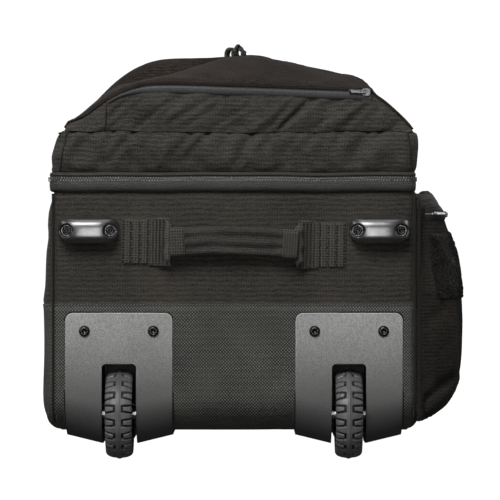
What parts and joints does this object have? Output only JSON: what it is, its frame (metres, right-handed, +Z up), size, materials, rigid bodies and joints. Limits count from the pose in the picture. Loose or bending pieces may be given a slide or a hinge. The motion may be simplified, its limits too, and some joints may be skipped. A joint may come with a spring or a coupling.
{
  "type": "rolling flight case",
  "caption": "Soft-sided rolling flight case with wheels in moulded housings, telescopic pull handle, zipped lid, padded carry handles, base feet and zipped outer pockets.",
  "frame": {"origin": "on the floor under the middle of the whole case as it lies on its back", "axes": "+Z up towards the case's front, +Y from the wheeled base to the pull handle's end, +X to the side pocket"},
  "size_m": [0.403, 0.7776, 0.404],
  "materials": {
    "ribbed_nylon": "crosswise ribbed nylon, charcoal",
    "ballistic_nylon": "coarse basket weave nylon, black",
    "lining": "smooth grey lining cloth",
    "webbing": "woven nylon webbing, black",
    "zip_tape": "zip tape with moulded teeth, dark grey",
    "slider_metal": "zip slider, dark metal",
    "loop_pile": "hook-and-loop pile, black",
    "housing_plastic": "grained grey plastic",
    "foot_plastic": "satin black plastic",
    "rail_plastic": "black plastic",
    "board_plastic": "black polyethylene board",
    "tyre_rubber": "grooved dark grey tyre",
    "hub_plastic": "black nylon hub",
    "steel": "zinc plated steel",
    "black_screw": "black oxide steel",
    "tube_aluminium": "drawn aluminium tube",
    "grip_rubber": "soft black grip",
    "button_plastic": "dark grey button"
  },
  "bodies": {
    "shell": {"back_panel": "ballistic_nylon", "base_panel": "ribbed_nylon", "side_panel_left": "ribbed_nylon", "side_panel_right": "ribbed_nylon", "top_panel": "ribbed_nylon", "back_board": "board_plastic", "base_board": "board_plastic", "floor_pad": "lining", "main_zip_lower": "zip_tape", "hinge_binding": "webbing", "side_pocket": "ribbed_nylon", "side_pocket_zip": "zip_tape", "loop_patch": "loop_pile", "wheel_housing_left": "housing_plastic", "wheel_housing_right": "housing_plastic", "axles": "steel", "axle_spacers": "steel", "axle_nuts": "steel", "housing_screws": "black_screw", "housing_nuts": "steel", "foot_left": "foot_plastic", "foot_right": "foot_plastic", "foot_screws": "black_screw", "foot_nuts": "steel", "skid_rail_left": "rail_plastic", "skid_rail_right": "rail_plastic", "rail_rivets": "steel", "outer_tubes": "tube_aluminium", "tube_bracket": "rail_plastic", "handle_bezel": "rail_plastic", "bezel_screws": "black_screw", "carry_anchors": "webbing"},
    "lid": {"lid_gusset": "ribbed_nylon", "lid_panel": "ribbed_nylon", "main_zip_upper": "zip_tape", "lower_pocket": "ribbed_nylon", "upper_pocket": "ribbed_nylon", "pocket_zips": "zip_tape", "lash_loop": "webbing"},
    "wheel_left": {"tyre_left": "tyre_rubber", "hub_left": "hub_plastic", "bearings_left": "steel"},
    "wheel_right": {"tyre_right": "tyre_rubber", "hub_right": "hub_plastic", "bearings_right": "steel"},
    "handle_mid": {"mid_tubes": "tube_aluminium", "mid_ferrules": "rail_plastic"},
    "handle_top": {"inner_tubes": "tube_aluminium", "lock_plugs": "rail_plastic", "pull_grip": "grip_rubber", "button_springs": "steel"},
    "button": {"release_button": "button_plastic"},
    "base_handle": {"base_carry_grip": "webbing"},
    "top_handle": {"top_carry_grip": "webbing"},
    "side_handle": {"side_carry_grip": "webbing"},
    "zip_slider_near": {"main_slider_near": "slider_metal"},
    "zip_slider_far": {"main_slider_far": "slider_metal"},
    "pocket_slider_side": {"side_pocket_slider": "slider_metal"},
    "pocket_slider_lower": {"lower_pocket_slider": "slider_metal"},
    "pocket_slider_upper": {"upper_pocket_slider": "slider_metal"}
  },
  "joints": [
    {"name": "lid_hinge", "type": "hinge", "parent": "shell", "child": "lid", "pos_m": [-0.01295, 0.3382, 0.2585], "axis": [-1, 0, 0], "range_deg": [0, 100]},
    {"name": "wheel_left_spin", "type": "hinge", "parent": "shell", "child": "wheel_left", "pos_m": [-0.11995, -0.3468, 0.042], "axis": [1, 0, 0], "continuous": true},
    {"name": "wheel_right_spin", "type": "hinge", "parent": "shell", "child": "wheel_right", "pos_m": [0.09405, -0.3468, 0.042], "axis": [1, 0, 0], "continuous": true},
    {"name": "handle_mid_slide", "type": "slide", "parent": "shell", "child": "handle_mid", "axis": [0, 1, 0], "range_m": [0, 0.165]},
    {"name": "handle_top_slide", "type": "slide", "parent": "handle_mid", "child": "handle_top", "axis": [0, 1, 0], "range_m": [0, 0.165]},
    {"name": "button_press", "type": "slide", "parent": "handle_top", "child": "button", "axis": [0, -1, 0], "range_m": [0, 0.0035], "stiffness_N_per_m": 900, "springref_m": -0.002, "deforming": ["button_springs"]},
    {"name": "base_handle_swing", "type": "hinge", "parent": "shell", "child": "base_handle", "pos_m": [-0.01295, -0.3703, 0.2015], "axis": [1, 0, 0], "range_deg": [-30, 30]},
    {"name": "top_handle_swing", "type": "hinge", "parent": "shell", "child": "top_handle", "pos_m": [-0.01295, 0.3417, 0.168], "axis": [1, 0, 0], "range_deg": [-30, 30]},
    {"name": "side_handle_swing", "type": "hinge", "parent": "shell", "child": "side_handle", "pos_m": [-0.18645, 0.0132, 0.153], "axis": [0, 1, 0], "range_deg": [-30, 30]},
    {"name": "zip_near_slide", "type": "slide", "parent": "shell", "child": "zip_slider_near", "axis": [0, -1, 0], "range_m": [0, 0.235]},
    {"name": "zip_far_slide", "type": "slide", "parent": "shell", "child": "zip_slider_far", "axis": [0, 1, 0], "range_m": [0, 0.385]},
    {"name": "side_pocket_slide", "type": "slide", "parent": "shell", "child": "pocket_slider_side", "axis": [0, 1, 0], "range_m": [0, 0.41]},
    {"name": "lower_pocket_slide", "type": "slide", "parent": "lid", "child": "pocket_slider_lower", "axis": [-1, 0, 0], "range_m": [0, 0.18]},
    {"name": "upper_pocket_slide", "type": "slide", "parent": "lid", "child": "pocket_slider_upper", "axis": [-1, 0, 0], "range_m": [-0.09, 0.09]}
  ]
}
